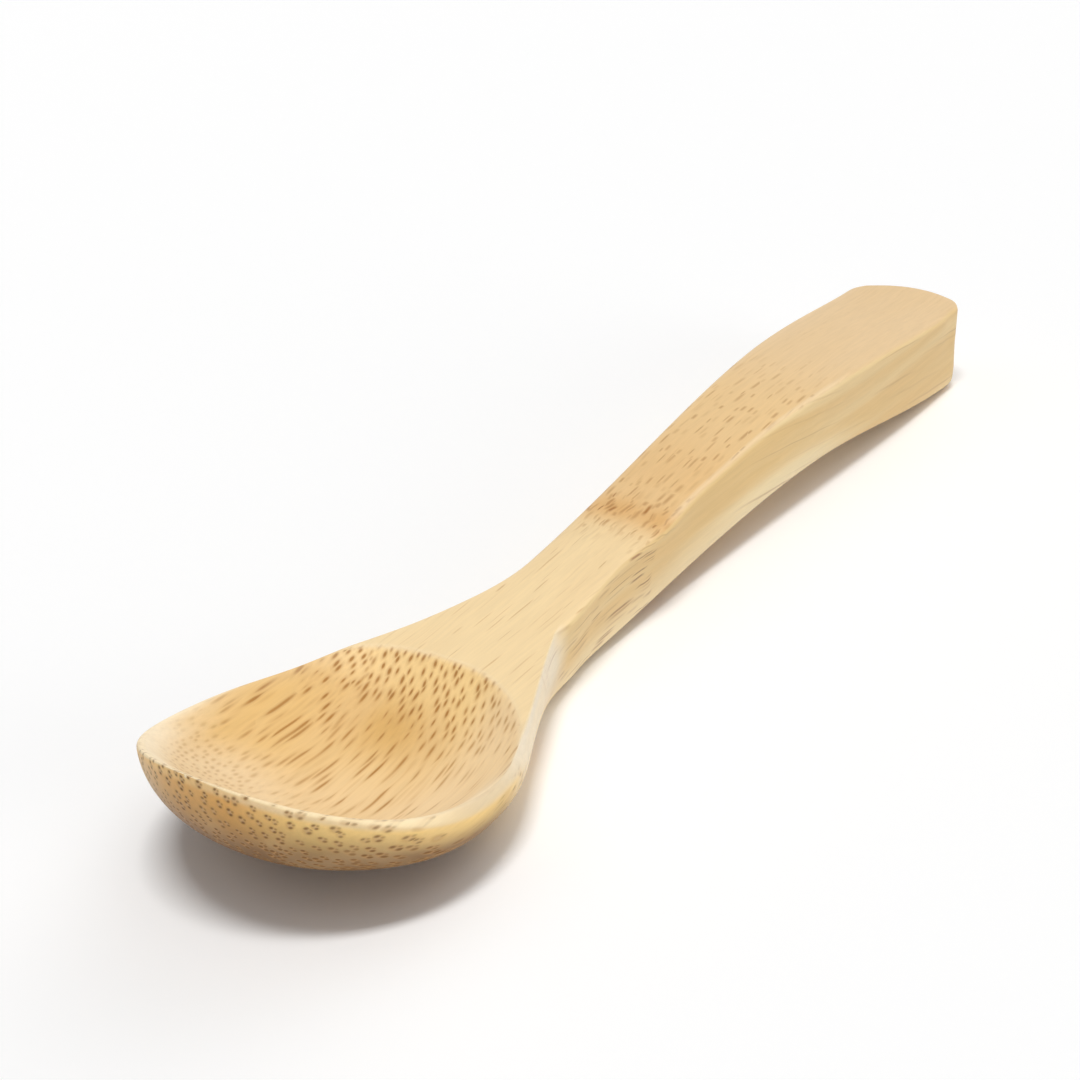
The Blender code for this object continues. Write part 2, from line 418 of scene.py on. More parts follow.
class Graph:
    """Short calls for the nodes of one material or world."""

    def __init__(self, made_for):
        made_for.use_nodes = True
        self.made_for = made_for
        self.tree = made_for.node_tree
        self.tree.nodes.clear()

    def node(self, kind, **settings):
        made = self.tree.nodes.new(kind)
        for name, value in settings.items():
            setattr(made, name, value)
        return made

    def feed(self, socket, value):
        if isinstance(value, bpy.types.NodeSocket):
            self.tree.links.new(value, socket)
        else:
            socket.default_value = value

    def math(self, operation, first, second=0.0):
        made = self.node("ShaderNodeMath", operation=operation)
        for socket, value in zip(made.inputs, (first, second)):
            self.feed(socket, value)
        return made.outputs[0]

    def add(self, first, second):
        return self.math("ADD", first, second)

    def times(self, first, *others):
        for other in others:
            first = self.math("MULTIPLY", first, other)
        return first

    def most(self, first, *others):
        for other in others:
            first = self.math("MAXIMUM", first, other)
        return first

    def least(self, first, second):
        return self.math("MINIMUM", first, second)

    def magnitude(self, value):
        return self.math("ABSOLUTE", value)

    def without(self, value):
        """1 where the value is 0, and 0 where it is 1."""
        return self.add(self.times(value, -1.0), 1.0)

    def spread(self, chance, least, most):
        """A value between least and most, by chance."""
        return self.add(self.times(chance, most - least), least)

    def vector(self, operation, first, second=None, scale=None):
        made = self.node("ShaderNodeVectorMath", operation=operation)
        self.feed(made.inputs[0], first)
        if second is not None:
            self.feed(made.inputs[1], second)
        if scale is not None:
            self.feed(made.inputs["Scale"], scale)
        return made.outputs["Value"] if operation in ("LENGTH", "DOT_PRODUCT") else made.outputs[0]

    def join(self, x, y, z=0.0):
        made = self.node("ShaderNodeCombineXYZ")
        for socket, value in zip(made.inputs, (x, y, z)):
            self.feed(socket, value)
        return made.outputs[0]

    def split(self, value):
        made = self.node("ShaderNodeSeparateXYZ")
        self.feed(made.inputs[0], value)
        return made.outputs

    def ramp(self, value, start, end, low=0.0, high=1.0):
        """A smooth step from low at start to high at end."""
        made = self.node("ShaderNodeMapRange", interpolation_type="SMOOTHSTEP")
        for socket, number in zip(made.inputs, (value, start, end, low, high)):
            self.feed(socket, number)
        return made.outputs[0]

    def attribute(self, name):
        return self.node("ShaderNodeAttribute", attribute_name=name).outputs["Fac"]

    def noise(self, where, scale, detail):
        made = self.node("ShaderNodeTexNoise", noise_dimensions="3D")
        self.feed(made.inputs["Vector"], self.vector("MULTIPLY", where, scale))
        made.inputs["Scale"].default_value = 1.0
        made.inputs["Detail"].default_value = detail
        return made.outputs

    def mix_value(self, share, first, second):
        made = self.node("ShaderNodeMix", data_type="FLOAT")
        self.feed(made.inputs[0], share)
        self.feed(made.inputs[2], first)
        self.feed(made.inputs[3], second)
        return made.outputs[0]

    def mix(self, share, first, second):
        made = self.node("ShaderNodeMix", data_type="RGBA")
        self.feed(made.inputs[0], share)
        self.feed(made.inputs[6], first)
        self.feed(made.inputs[7], second)
        return made.outputs[2]


def colour(red, green, blue):
    """A linear colour from display values of 0 to 255."""
    def linear(value):
        value = value / 255.0
        return value / 12.92 if value <= 0.04045 else ((value + 0.055) / 1.055) ** 2.4
    return (linear(red), linear(green), linear(blue), 1.0)


# Bamboo: strands of fibre run along the spoon through the whole solid, in rows that lie closer
# towards the underside. The bowl cuts them square or at a slant and shows each as a pair of dark
# dots or as a dash. The neck and the handle follow them and show single dashes and long thin lines.

outer_strands = {"across": 0.72, "row": 0.54, "growth": 0.022}
inner_strands = {"across": 0.57, "row": 0.44, "growth": 0.02, "radius": 0.16, "stretch": 0.66}
left_strands = {"across": 0.43, "row": 0.28, "growth": 0.02, "radius": 0.155, "stretch": 0.95}
lattice_turn = math.radians(38.0)
scatter = 0.62
strand_sizes = (0.77, 1.12)

# Drift of the strands: how far they go from side to side, and how often in a millimetre
slow_wander = 2.4
slow_wander_scale = (0.03, 0.05, 0.05)
quick_wander = 0.28
quick_wander_scale = (0.28, 0.3, 0.3)
node_swirl = 0.64
node_swirl_scale = (0.75, 0.3, 0.3)
node_swirl_run = 2.4

# Pairs: two dots beside a strand's middle, a weaker third, a halo round them and pith between them
pair_turn = math.radians(74.0)
pair_jitter = math.radians(34.0)
pair_half = 0.17
pair_flatness = 0.9
pair_radius = 0.145
pair_core = 0.025
pair_growth = 0.04
pair_strengths = (0.65, 1.0)
third_out = 0.17
third_radius = 0.12
third_core = 0.02
third_strength = 0.5
halo_flatness = 1.5
halo_radius = 0.46
halo_core = 0.12
pith_radius = 0.24
pith_core = 0.1

# Single marks, and the gates that end long ones in a taper
mark_core = 0.02
mark_strengths = (0.8, 1.15)
mark_halo_radius = 0.3
mark_halo_core = 0.08
inner_gate = 5.2
outer_gate = 2.0
gate_jitter = 7.0
gate_run = (0.336, 0.966)
gate_taper = 0.14

# Dashes: the cell that each has to itself, its longest length and its half width
neck_dashes = {"cell": (5.2, 0.56), "longest": 4.4, "half_width": 0.075, "seed": 3.0}
node_dashes = {"cell": (1.9, 0.42), "longest": 1.9, "half_width": 0.19, "seed": 11.0}
handle_dashes = {"cell": (2.4, 0.50), "longest": 2.3, "half_width": 0.16, "seed": 23.0}
side_streaks = {"cell": (4.8, 0.31), "longest": 4.7, "half_width": 0.125, "seed": 37.0}
side_lines = {"cell": (24.0, 1.2), "longest": 23.0, "half_width": 0.12, "seed": 5.0}
dash_scatter = 0.85
dash_lengths = (0.3, 1.0)
dash_widths = (0.5, 1.5)
dash_end_core = 0.25
dash_side_core = 0.1
dash_strengths = (0.1, 0.9, 0.25, 1.0)

pale_cane = colour(245, 217, 167)
gold_cane = colour(252, 218, 154)
left_cane = colour(229, 189, 122)
deep_cane = colour(216, 173, 104)
floor_cane = colour(232, 197, 142)
inner_cane = colour(241, 213, 169)
# right wall of the hollow: its own tone and a painted sheen
right_wall_and_sheen_cane = colour(246, 218, 174)
wall_cane = colour(240, 182, 100)
# the front wall's left and right: painted light
wall_left_painted_light_cane = colour(246, 204, 142)
wall_right_painted_light_cane = colour(255, 216, 138)
wall_top_right_cane = colour(240, 214, 172)
wall_top_cane = colour(255, 212, 138)
# painted shade under the front of the bowl
belly_painted_shade_cane = colour(118, 78, 32)
node_cane = colour(220, 166, 94)
tan_cane = colour(230, 188, 128)
handle_cane = colour(235, 198, 141)
arch_cane = colour(233, 200, 151)
side_cane = colour(239, 212, 158)
# painted bounce light along the bottom of the sides
low_side_painted_bounce_cane = colour(255, 240, 202)
shade_cane = colour(231, 196, 134)
# worn edges and the lip band: real wear with a painted sheen
worn_and_sheen_cane = colour(255, 236, 202)
pared_cane = colour(243, 232, 212)
# front land: wear and a painted sheen
front_land_and_sheen_cane = colour(253, 231, 187)
right_land_cane = colour(224, 204, 170)
vessel_brown = colour(128, 88, 42)
mark_brown = colour(168, 116, 50)
dash_brown = colour(170, 118, 62)
line_brown = colour(192, 144, 88)
side_brown = colour(170, 126, 92)
halo_tan = colour(196, 146, 84)
pith_grey = colour(224, 194, 152)

# Where each look starts and where it is full. A name that ends in _x goes by the distance from the
# tip, in _y by the distance across, with the left above 0, in _z by a height, in _sunk by the depth
# below the top face and in _facing by one part of the surface's direction. Four numbers are the
# start, the end and the shares there. A name that ends in _share is the most that a look covers.

bowl_x = (27.0, 23.0)
outside_facing = (0.6, 0.1)
flank_facing = (0.55, 0.85)
flank_x = (24.0, 28.0)
flank_share = 0.9
slant_facing = (0.42, 0.28)
pared_x = (11.5, 17.5, 0.2, 1.0)
pared_share = 0.7
broad_tint = (0.35, 0.75, 0.0, 0.3)

# Top of the neck, the node and the handle
handle_x = (41.0, 50.0)
arch_x = (58.0, 70.0)
behind_node_at = node_at + 5.5
behind_node_run = 5.0
behind_node_share = 0.8
node_band_at = node_at + 0.7
node_band_run = 1.7
node_band_share = 0.75

# Sides of the neck and the handle, with painted bounce light along their bottom
side_bands = (0.35, 0.65)
painted_bounce_z = (3.2, 1.0)
painted_bounce_x = (70.0, 60.0, 0.0, 0.6)

# Hollow: floor, walls, deepest part and the pale band inside its lip, a painted sheen
floor_facing = (0.86, 0.98)
floor_share = 0.7
back_wall_facing = (0.12, -0.25)
left_wall_facing = (0.0, -0.35)
left_wall_lean = 1.6
left_wall_x = (3.4, 8.9)
left_wall_end_x = (22.0, 18.5)
right_wall_facing = (0.1, 0.4)
right_wall_share = 0.8
deep_at = 18.2
deep_run = 2.6
deep_y = 1.8
deep_y_run = 4.2
deep_share = 0.95
lip_sunk = (1.4, 0.35)
lip_front_facing = (0.0, 0.3)
lip_right_x = (17.0, 12.0)
lip_left_y = (9.4, 8.0, 0.3, 1.0)
lip_sheen_share = 0.9

# Outside of the bowl and the land round its hollow: painted light towards the sides of the front wall,
# painted shade under it, and wear with a painted sheen on the front land
wall_right_painted_light_y = (-2.0, -6.5)
wall_left_painted_light_y = (0.5, 4.5)
wall_top_right_y = (1.0, -5.0)
wall_top_sunk = (0.8, 0.35)
wall_top_share = 0.8
belly_shade_facing = (0.05, -0.6)
belly_shade_x = (20.0, 12.0)
land_facing = (0.2, 0.6)
front_land_and_sheen_x = (12.0, 8.0)
front_land_and_sheen_share = 0.9
right_land_x = (8.0, 12.0)
right_land_end_x = (22.0, 16.0)
right_land_y = (-6.0, -8.5)
right_land_share = 0.8

# Pairs on the bowl and on the cut end of the handle
below_facing = (-0.1, -0.6)
below_strength = 1.3
land_pairs_x = (11.0, 15.0, 0.8, 0.0)
land_pairs_wear_and_sheen = (0.5, 0.9, 1.0, 0.0)
side_pairs_facing = (0.08, 0.3, 0.25, 1.0)
pairs_x = (24.0, 15.0)
front_middle_y = -1.5
front_pairs_y = (2.0, 5.5, 1.0, 0.8)
end_facing = (0.7, 0.9)
end_x = (84.0, 86.0)
pair_halo_share = 0.65
pith_facing = (-0.45, -0.1, 0.0, 0.35)
darkest_mark = 0.9

# Marks in the hollow
left_marks_facing = (-0.22, -0.3)
front_marks_facing = (0.0, 0.25, 1.0, 0.3)
right_marks_facing = (0.0, 0.5, 1.0, 0.45)
floor_marks = (0.0, 1.0, 1.0, 0.8)
mark_halo_share = 0.35

# Dashes on the top, and streaks and lines on the sides
top_dashes_x = (21.5, 24.5)
neck_dashes_x = (41.0, 36.0, 0.0, 0.5)
node_dashes_at = node_at + 0.9
node_dashes_run = 2.6
handle_dashes_x = (35.5, 43.5, 0.0, 0.55)
arch_dashes_x = (60.0, 69.0, 1.0, 0.08)
dash_brown_x = (34.0, 40.0)
streaks_x = (28.0, 37.0, 0.35, 0.9)
streaks_end_x = (41.25, 40.75)
side_slope = 0.1
side_lines_share = 0.5

# Grain and finish: how often a noise changes in a millimetre, and what it gives
coarse_detail = 1.0
fine_detail = 2.0
broad_scale = (0.05, 0.3, 0.3)
band_scale = (0.03, 0.25, 0.55)
grain_scale = (0.12, 3.5, 3.5)
grain_shades = (0.25, 0.75, 0.968, 1.022)
fine_scale = (0.5, 11.0, 11.0)
fine_shades = (0.2, 0.8, -0.015, 0.015)
# Where the worn edges are paler, with real wear and a painted sheen
wear_and_sheen_x = (9.0, 15.0, 0.8, 0.35)
wear_and_sheen_y = (-3.0, -8.0, 1.0, 0.5)
wear_and_sheen_facing = (0.45, 0.8)
wear_and_sheen_sides_x = (9.0, 13.0)
roughness_run = (0.3, 0.7, 0.42, 0.52)
cut_roughness = 0.15
grain_relief = 0.35
relief_depth = 0.02 * MM
oil_sheen = 0.3


def bell(graph, value, middle, run):
    """A bump of height 1 at middle."""
    away = graph.math("DIVIDE", graph.math("SUBTRACT", value, middle), run)
    return graph.math("POWER", math.e, graph.times(away, away, -1.0))


def distance(graph, first, second):
    return graph.vector("LENGTH", graph.join(first, second))


def wander(graph, here, scale, amount):
    """A smooth sideways drift of the strands."""
    made = graph.noise(here, scale, coarse_detail)["Color"]
    centred = graph.vector("SUBTRACT", made, (0.5, 0.5, 0.5))
    return graph.vector("SCALE", centred, scale=amount)


def drifted(graph, here):
    """The place with the strands' drift added, and their swirl at the node."""
    x = graph.split(here)[0]
    swirl = graph.times(bell(graph, x, node_at, node_swirl_run), node_swirl)
    drift = graph.vector("ADD", wander(graph, here, slow_wander_scale, slow_wander),
                         wander(graph, here, quick_wander_scale, quick_wander))
    drift = graph.vector("ADD", drift, wander(graph, here, node_swirl_scale, swirl))
    drift = graph.vector("MULTIPLY", drift, (0.0, 1.0, 1.0))
    return graph.vector("ADD", here, drift)


def nearest_cell(graph, where, randomness):
    """The offset from the nearest point of a scattered lattice, and the chances that are its own."""
    cells = graph.node("ShaderNodeTexVoronoi", voronoi_dimensions="2D", feature="F1")
    graph.feed(cells.inputs["Vector"], where)
    cells.inputs["Scale"].default_value = 1.0
    cells.inputs["Randomness"].default_value = randomness
    offset = graph.vector("SUBTRACT", where, cells.outputs["Position"])
    return graph.split(offset), graph.split(cells.outputs["Color"])


def strands(graph, where, kind):
    """Each place seen from its nearest strand, along and beside its pair, and the strand's chances."""
    x, y, z = graph.split(where)
    height = graph.most(z, 0.0)
    across = graph.math("DIVIDE", y, kind["across"])
    stretch = graph.add(graph.times(height, kind["growth"] / kind["row"]), 1.0)
    row = graph.times(graph.math("LOGARITHM", stretch, math.e), 1.0 / kind["growth"])

    cosine, sine = math.cos(lattice_turn), math.sin(lattice_turn)
    turned_across = graph.add(graph.times(across, cosine), graph.times(row, sine))
    turned_row = graph.add(graph.times(across, -sine), graph.times(row, cosine))
    offset, chance = nearest_cell(graph, graph.join(turned_across, turned_row), scatter)
    offset_across = graph.add(graph.times(offset[0], cosine), graph.times(offset[1], -sine))
    offset_row = graph.add(graph.times(offset[0], sine), graph.times(offset[1], cosine))
    size = graph.spread(chance[1], *strand_sizes)
    side = graph.math("DIVIDE", graph.times(offset_across, kind["across"]), size)
    rise = graph.times(offset_row, graph.add(graph.times(height, kind["growth"]), kind["row"]))
    rise = graph.math("DIVIDE", rise, size)

    turn = graph.add(graph.times(graph.add(chance[0], -0.5), pair_jitter), pair_turn)
    cosine, sine = graph.math("COSINE", turn), graph.math("SINE", turn)
    along = graph.add(graph.times(side, cosine), graph.times(rise, sine))
    beside = graph.add(graph.times(rise, cosine), graph.times(side, sine, -1.0))
    return along, beside, chance


def gate(graph, where, chance, spacing):
    """What to add to the distance from a mark's middle, to end long marks in a taper."""
    spaces = graph.times(graph.split(where)[0], 1.0 / spacing)
    phase = graph.add(spaces, graph.times(chance[0], gate_jitter))
    from_gate = graph.times(graph.magnitude(graph.add(graph.math("FRACT", phase), -0.5)), 2.0)
    return graph.ramp(from_gate, *gate_run, 0.0, gate_taper)


def pairs(graph, where, broken, below):
    """Paired dots of the strands that the outside of the bowl cuts: dots, halo, pith and strength."""
    along, beside, chance = strands(graph, where, outer_strands)
    from_dot = graph.add(graph.magnitude(along), -pair_half)
    dots = distance(graph, from_dot, graph.times(beside, pair_flatness))
    taper = graph.times(gate(graph, where, chance, outer_gate), broken)
    dots = graph.add(dots, graph.times(below, -pair_growth))
    dots = graph.ramp(graph.add(dots, taper), pair_radius, pair_core)
    third = distance(graph, along, graph.add(beside, -third_out))
    third = graph.ramp(third, third_radius, third_core)
    dots = graph.most(dots, graph.times(third, third_strength))
    from_middle = distance(graph, along, graph.times(beside, halo_flatness))
    halo = graph.ramp(from_middle, halo_radius, halo_core)
    pith = graph.ramp(from_middle, pith_radius, pith_core)
    return dots, halo, pith, graph.spread(chance[2], *pair_strengths)


def marks(graph, where, kind, broken):
    """Single marks of the strands that the hollow cuts: the mark, its halo and its strength.

    A slanting cut draws each out into a dash. Where broken is 1 long dashes end in a taper.
    """
    along, beside, chance = strands(graph, where, kind)
    along = graph.times(along, kind["stretch"])
    taper = graph.times(gate(graph, where, chance, inner_gate), broken)
    from_mark = graph.add(distance(graph, along, beside), taper)
    mark = graph.ramp(from_mark, kind["radius"], mark_core)
    halo = graph.ramp(from_mark, mark_halo_radius, mark_halo_core)
    return mark, halo, graph.spread(chance[2], *mark_strengths)


def dashes(graph, along, across, kind):
    """Single dashes of random length in long cells, between 0 and their own random strength."""
    cell_long, cell_wide = kind["cell"]
    where = graph.join(graph.add(graph.times(along, 1.0 / cell_long), kind["seed"]),
                       graph.add(graph.times(across, 1.0 / cell_wide), kind["seed"]))
    offset, chance = nearest_cell(graph, where, dash_scatter)
    from_middle = graph.times(graph.magnitude(offset[0]), cell_long)
    from_line = graph.times(graph.magnitude(offset[1]), cell_wide)
    half_long = graph.times(graph.spread(chance[0], *dash_lengths), 0.5 * kind["longest"])
    half_wide = graph.times(graph.spread(chance[1], *dash_widths), kind["half_width"])
    inside = graph.ramp(graph.math("DIVIDE", from_middle, half_long), 1.0, dash_end_core)
    beside = graph.ramp(graph.math("DIVIDE", from_line, half_wide), 1.0, dash_side_core)
    return graph.times(inside, beside, graph.ramp(chance[2], *dash_strengths))


class Surface:
    """What the looks of the bamboo go by, at each place on the spoon."""

    def __init__(self, graph):
        coordinates = graph.node("ShaderNodeTexCoord")
        here = graph.vector("SCALE", coordinates.outputs["Object"], scale=1.0 / MM)
        self.here = graph.vector("ADD", here, (0.5 * length, 0.0, 0.0))
        self.x, self.y, self.z = graph.split(self.here)
        self.facing_x, self.facing_y, self.facing_z = graph.split(coordinates.outputs["Normal"])
        self.where = drifted(graph, self.here)
        self.along, self.across, self.up = graph.split(self.where)
        self.broad = graph.noise(self.here, broad_scale, fine_detail)["Fac"]

        self.worn_and_sheen = graph.attribute("worn_and_sheen")
        self.hollow = graph.attribute("scooped")
        self.sunk = graph.attribute("sunk")
        self.pared = graph.times(graph.attribute("pared"), graph.ramp(self.x, *pared_x))
        self.not_hollow = graph.without(self.hollow)
        self.bowl = graph.ramp(self.x, *bowl_x)
        outward = graph.ramp(self.facing_z, *outside_facing)
        self.outside = graph.times(outward, self.bowl, self.not_hollow)
        sideways = graph.ramp(graph.magnitude(self.facing_y), *flank_facing)
        self.flank = graph.times(sideways, graph.ramp(self.x, *flank_x))
        self.floor = graph.ramp(self.facing_z, *floor_facing)
        self.broken = graph.ramp(graph.magnitude(self.facing_x), *slant_facing)

        self.right_wall = graph.ramp(self.facing_y, *right_wall_facing)
        # The pale band inside the lip, on the front and right walls, is a painted sheen.
        lip_right = graph.times(self.right_wall, graph.ramp(self.x, *lip_right_x))
        fore_or_right = graph.most(graph.ramp(self.facing_x, *lip_front_facing), lip_right)
        near_lip = graph.ramp(self.sunk, *lip_sunk)
        self.lip = graph.times(near_lip, fore_or_right, graph.ramp(self.y, *lip_left_y))


def top_colour(graph, at):
    """The neck, the node and the handle from above."""
    base = graph.mix(graph.ramp(at.x, *handle_x), pale_cane, handle_cane)
    base = graph.mix(graph.ramp(at.x, *arch_x), base, arch_cane)
    behind_node = bell(graph, at.x, behind_node_at, behind_node_run)
    base = graph.mix(graph.times(behind_node, behind_node_share), base, tan_cane)
    node_band = bell(graph, at.along, node_band_at, node_band_run)
    return graph.mix(graph.times(node_band, node_band_share), base, node_cane)


def side_colour(graph, at):
    """The sides of the neck and the handle, in soft bands, with painted bounce light from the table
    along the bottom.
    """
    band = graph.noise(at.where, band_scale, coarse_detail)["Fac"]
    side = graph.mix(graph.ramp(band, *side_bands), shade_cane, side_cane)
    # Painted bounce light: the bottom of each side is lightened as if lit by the white table.
    underneath = graph.ramp(at.x, belly_ends_at, arch_gap_at, -ground_off, arch_gap)
    above = graph.math("SUBTRACT", at.z, underneath)
    painted_bounce = graph.times(graph.ramp(above, *painted_bounce_z), graph.ramp(at.x, *painted_bounce_x))
    return graph.mix(painted_bounce, side, low_side_painted_bounce_cane)


def hollow_colour(graph, at):
    """The hollow of the bowl: its back, floor, left and right, its deepest part and its lip, where a
    pale band is a painted sheen. The right wall's paler tone is partly a painted sheen.
    """
    inner = graph.mix(graph.ramp(at.facing_x, *back_wall_facing), inner_cane, gold_cane)
    inner = graph.mix(graph.times(at.floor, floor_share), inner, floor_cane)
    leaning_x = graph.add(at.x, graph.times(at.sunk, -left_wall_lean))
    left_wall = graph.times(graph.ramp(leaning_x, *left_wall_x), graph.ramp(at.x, *left_wall_end_x),
                            graph.ramp(at.facing_y, *left_wall_facing))
    inner = graph.mix(left_wall, inner, left_cane)
    # The right wall's paler tone is partly a painted sheen.
    inner = graph.mix(graph.times(at.right_wall, right_wall_share), inner, right_wall_and_sheen_cane)
    deep = graph.times(bell(graph, at.x, deep_at, deep_run), bell(graph, at.y, deep_y, deep_y_run),
                       deep_share)
    inner = graph.mix(deep, inner, deep_cane)
    # Painted sheen on the band inside the lip
    return graph.mix(graph.times(at.lip, lip_sheen_share), inner, worn_and_sheen_cane)


def wall_colour(graph, at):
    """The outside of the bowl: pale along its top, with painted light towards its right and left and
    painted shade underneath.
    """
    # Painted light: the front wall is lighter towards its right and left.
    wall = graph.mix(graph.ramp(at.y, *wall_right_painted_light_y), wall_cane, wall_right_painted_light_cane)
    wall = graph.mix(graph.ramp(at.y, *wall_left_painted_light_y), wall, wall_left_painted_light_cane)
    wall_top = graph.mix(graph.ramp(at.y, *wall_top_right_y), wall_top_cane, wall_top_right_cane)
    wall = graph.mix(graph.times(graph.ramp(at.sunk, *wall_top_sunk), wall_top_share), wall, wall_top)
    # Painted shade: the faces under the front of the bowl that turn down to the table are darkened.
    belly = graph.times(graph.ramp(at.facing_z, *belly_shade_facing), graph.ramp(at.x, *belly_shade_x))
    return graph.mix(belly, wall, belly_painted_shade_cane)


def cane_colour(graph, at):
    """The cane between the strands."""
    base = graph.mix(graph.times(at.flank, flank_share), top_colour(graph, at), side_colour(graph, at))
    base = graph.mix(at.hollow, base, hollow_colour(graph, at))
    base = graph.mix(at.outside, base, wall_colour(graph, at))
    # The pale land round the front of the hollow: wear and a painted sheen on its upturned faces.
    land = graph.times(at.not_hollow, graph.ramp(at.facing_z, *land_facing))
    front_land_and_sheen = graph.times(land, graph.ramp(at.x, *front_land_and_sheen_x), front_land_and_sheen_share)
    base = graph.mix(front_land_and_sheen, base, front_land_and_sheen_cane)
    right_land = graph.times(land, graph.ramp(at.x, *right_land_x), graph.ramp(at.x, *right_land_end_x),
                             graph.ramp(at.y, *right_land_y), right_land_share)
    base = graph.mix(right_land, base, right_land_cane)
    base = graph.mix(graph.ramp(at.broad, *broad_tint), base, arch_cane)
    return graph.mix(graph.times(at.pared, pared_share), base, pared_cane)


def add_pairs(graph, at, base):
    """Pairs on the outside of the bowl, on its rim and on the cut end: the colour and the dots."""
    below = graph.ramp(at.facing_z, *below_facing)
    dots, halo, pith, strength = pairs(graph, at.where, at.broken, below)
    strength = graph.times(strength, graph.ramp(below, 0.0, 1.0, 1.0, below_strength))
    on_land = graph.times(graph.without(at.outside), at.not_hollow)
    kept_on_land = graph.times(graph.ramp(at.x, *land_pairs_x), graph.ramp(at.worn_and_sheen, *land_pairs_wear_and_sheen))
    from_front = graph.magnitude(graph.add(at.y, -front_middle_y))
    shown = graph.times(graph.mix_value(on_land, 1.0, kept_on_land), strength, at.bowl, at.not_hollow,
                        graph.without(at.pared), graph.ramp(at.x, *pairs_x),
                        graph.ramp(graph.magnitude(at.facing_x), *side_pairs_facing),
                        graph.ramp(from_front, *front_pairs_y))
    at_end = graph.times(graph.ramp(at.facing_x, *end_facing), graph.ramp(at.x, *end_x), strength)
    shown = graph.most(shown, at_end)
    base = graph.mix(graph.times(halo, shown, pair_halo_share), base, halo_tan)
    pith = graph.times(pith, shown, graph.ramp(at.facing_z, *pith_facing))
    base = graph.mix(pith, base, pith_grey)
    dots = graph.least(graph.times(dots, shown), darkest_mark)
    return graph.mix(dots, base, vessel_brown), dots


def add_marks(graph, at, base):
    """Marks in the hollow, fainter on its floor, front and right: the colour and the marks."""
    at_left = graph.ramp(at.facing_y, *left_marks_facing)
    middle_marks = marks(graph, at.where, inner_strands, at.broken)
    left_marks = marks(graph, at.where, left_strands, at.broken)
    mark, halo, strength = (graph.mix_value(at_left, middle, left)
                            for middle, left in zip(middle_marks, left_marks))
    shown = graph.times(at.hollow, strength, graph.without(at.lip), graph.ramp(at.floor, *floor_marks),
                        graph.ramp(at.facing_x, *front_marks_facing),
                        graph.ramp(at.facing_y, *right_marks_facing))
    base = graph.mix(graph.times(halo, shown, mark_halo_share), base, halo_tan)
    mark = graph.least(graph.times(mark, shown), darkest_mark)
    return graph.mix(mark, base, mark_brown), mark


def add_dashes(graph, at, base):
    """Dashes on the top, and streaks and lines on the sides: the colour and the dashes."""
    neck, node, handle = (dashes(graph, at.along, at.across, kind)
                          for kind in (neck_dashes, node_dashes, handle_dashes))
    neck = graph.times(neck, graph.ramp(at.x, *neck_dashes_x))
    node = graph.times(node, bell(graph, at.x, node_dashes_at, node_dashes_run))
    handle = graph.times(handle, graph.ramp(at.x, *handle_dashes_x), graph.ramp(at.x, *arch_dashes_x))
    shown = graph.times(graph.most(neck, handle, node), graph.ramp(at.x, *top_dashes_x),
                        graph.without(at.flank))
    brown = graph.mix(graph.ramp(at.x, *dash_brown_x), line_brown, dash_brown)
    base = graph.mix(shown, base, brown)

    streaks = graph.times(dashes(graph, at.along, at.up, side_streaks), graph.ramp(at.x, *streaks_x))
    sinking = graph.times(graph.add(at.x, -node_at), side_slope)
    lines = dashes(graph, at.along, graph.add(at.up, sinking), side_lines)
    lines = graph.times(lines, side_lines_share)
    side = graph.mix_value(graph.ramp(at.along, *streaks_end_x), lines, streaks)
    return graph.mix(graph.times(side, at.flank), base, side_brown), shown


def add_wear_and_sheen(graph, at, base):
    """The paler edges: real wear and a painted sheen, which stays on the upturned faces at the front of
    the bowl.
    """
    facing_up = graph.most(graph.ramp(at.facing_z, *wear_and_sheen_facing), graph.ramp(at.x, *wear_and_sheen_sides_x))
    worn_and_sheen = graph.times(at.worn_and_sheen, facing_up, graph.ramp(at.x, *wear_and_sheen_x), graph.ramp(at.y, *wear_and_sheen_y))
    return graph.mix(worn_and_sheen, base, worn_and_sheen_cane)


def bamboo():
    graph = Graph(bpy.data.materials.new("bamboo"))
    at = Surface(graph)
    base, dots = add_pairs(graph, at, cane_colour(graph, at))
    base, mark = add_marks(graph, at, base)
    base, dashed = add_dashes(graph, at, base)
    base = add_wear_and_sheen(graph, at, base)
    grain = graph.noise(at.where, grain_scale, fine_detail)["Fac"]
    fine = graph.noise(at.here, fine_scale, coarse_detail)["Fac"]
    shade = graph.add(graph.ramp(grain, *grain_shades), graph.ramp(fine, *fine_shades))
    base = graph.vector("MULTIPLY", base, graph.join(shade, shade, shade))

    cut = graph.most(dots, mark, dashed)
    rough = graph.add(graph.ramp(at.broad, *roughness_run), graph.times(cut, cut_roughness))
    relief = graph.add(graph.times(cut, -1.0), graph.times(grain, grain_relief))
    bump = graph.node("ShaderNodeBump")
    bump.inputs["Distance"].default_value = relief_depth
    graph.feed(bump.inputs["Height"], relief)
    shader = graph.node("ShaderNodeBsdfPrincipled")
    shader.inputs["Specular IOR Level"].default_value = oil_sheen
    graph.feed(shader.inputs["Base Color"], base)
    graph.feed(shader.inputs["Roughness"], rough)
    graph.feed(shader.inputs["Normal"], bump.outputs["Normal"])
    output = graph.node("ShaderNodeOutputMaterial")
    graph.feed(output.inputs["Surface"], shader.outputs[0])
    return graph.made_for


# The spoon

spoon = bpy.data.objects.new("salt_spoon", spoon_mesh())
bpy.context.scene.collection.objects.link(spoon)
spoon.data.materials.append(bamboo())
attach(spoon, "root")
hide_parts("spoon")

